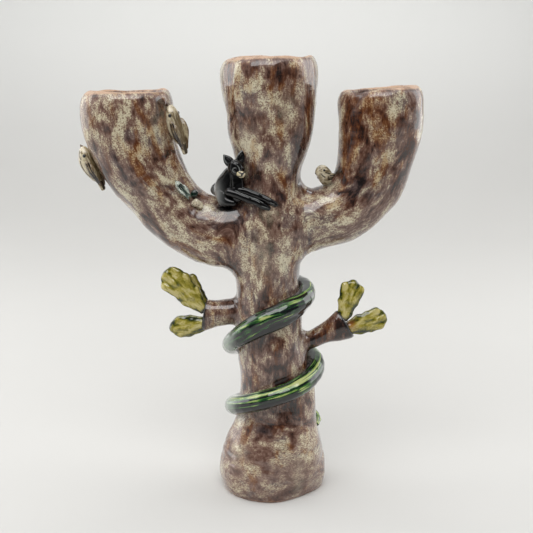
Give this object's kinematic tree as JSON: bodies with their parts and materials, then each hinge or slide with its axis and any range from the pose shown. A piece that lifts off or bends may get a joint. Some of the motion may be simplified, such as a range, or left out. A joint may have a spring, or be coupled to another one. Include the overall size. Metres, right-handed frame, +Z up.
{
  "type": "candelabra tree of life",
  "caption": "Hand-built glazed clay tree standing on a swollen root base, holding candles in open cups, with a coiled snake, birds, leaves and a black fox.",
  "frame": {"origin": "centre of the foot's flat underside, on the surface the tree stands on", "axes": "+Z up; -Y towards the viewer, the side that shows the snake's crossings and the fox's legs; +X to the viewer's right, towards the right cup"},
  "size_m": [0.2637, 0.0841, 0.35],
  "materials": {
    "bark_glaze": "glossy, mottled mauve-brown, chocolate and rust with cream speckle",
    "bare_clay": "unglazed fired clay, matt",
    "snake_glaze": "very glossy, near-black green with a leaf-green back",
    "leaf_glaze": "glossy, yellow-olive with tan ridges and dark green hollows",
    "black_glaze": "mirror-glossy black with thin grey lines",
    "cream_glaze": "glossy cream",
    "feather_glaze": "glossy buff with olive-brown outlines",
    "wing_glaze": "glossy olive-brown",
    "eye_glaze": "glossy black",
    "bud_glaze": "glossy black-green"
  },
  "bodies": {
    "root": {"arm_bird_beak": "wing_glaze", "arm_bird_body": "feather_glaze", "arm_bird_wing_left": "wing_glaze", "arm_bird_wing_right": "wing_glaze", "arm_knot": "bark_glaze", "centre_cup": "bark_glaze", "centre_limb": "bark_glaze", "crotch_bird_beak": "wing_glaze", "crotch_bird_body": "feather_glaze", "crotch_bird_eye_left": "eye_glaze", "crotch_bird_eye_right": "eye_glaze", "crotch_bird_wing_left": "wing_glaze", "crotch_bird_wing_right": "wing_glaze", "cup_bird_beak": "wing_glaze", "cup_bird_body": "feather_glaze", "cup_bird_eye_left": "eye_glaze", "cup_bird_eye_right": "eye_glaze", "cup_bird_tail": "wing_glaze", "cup_bird_wing_left": "wing_glaze", "cup_bird_wing_right": "wing_glaze", "foot_slab": "bare_clay", "fork": "bark_glaze", "fox_body": "black_glaze", "fox_ear_left": "black_glaze", "fox_ear_right": "black_glaze", "fox_eye_left": "eye_glaze", "fox_eye_right": "eye_glaze", "fox_foreleg_far": "black_glaze", "fox_foreleg_near": "black_glaze", "fox_haunch": "black_glaze", "fox_head": "black_glaze", "fox_muzzle": "cream_glaze", "fox_tail": "black_glaze", "green_bud": "bud_glaze", "left_arm": "bark_glaze", "left_back_leaf": "leaf_glaze", "left_cup": "bark_glaze", "left_lower_leaf": "leaf_glaze", "left_twig": "bark_glaze", "left_upper_leaf": "leaf_glaze", "outer_bird_beak": "wing_glaze", "outer_bird_body": "feather_glaze", "outer_bird_eye_left": "eye_glaze", "outer_bird_eye_right": "eye_glaze", "outer_bird_tail": "wing_glaze", "outer_bird_wing_left": "wing_glaze", "outer_bird_wing_right": "wing_glaze", "right_arm": "bark_glaze", "right_cup": "bark_glaze", "right_lower_leaf": "leaf_glaze", "right_twig": "bark_glaze", "right_upper_leaf": "leaf_glaze", "root_base": "bark_glaze", "snake_body": "snake_glaze", "snake_eye_lower": "eye_glaze", "snake_eye_upper": "eye_glaze", "snake_head": "snake_glaze", "trunk": "bark_glaze"}
  },
  "joints": []
}
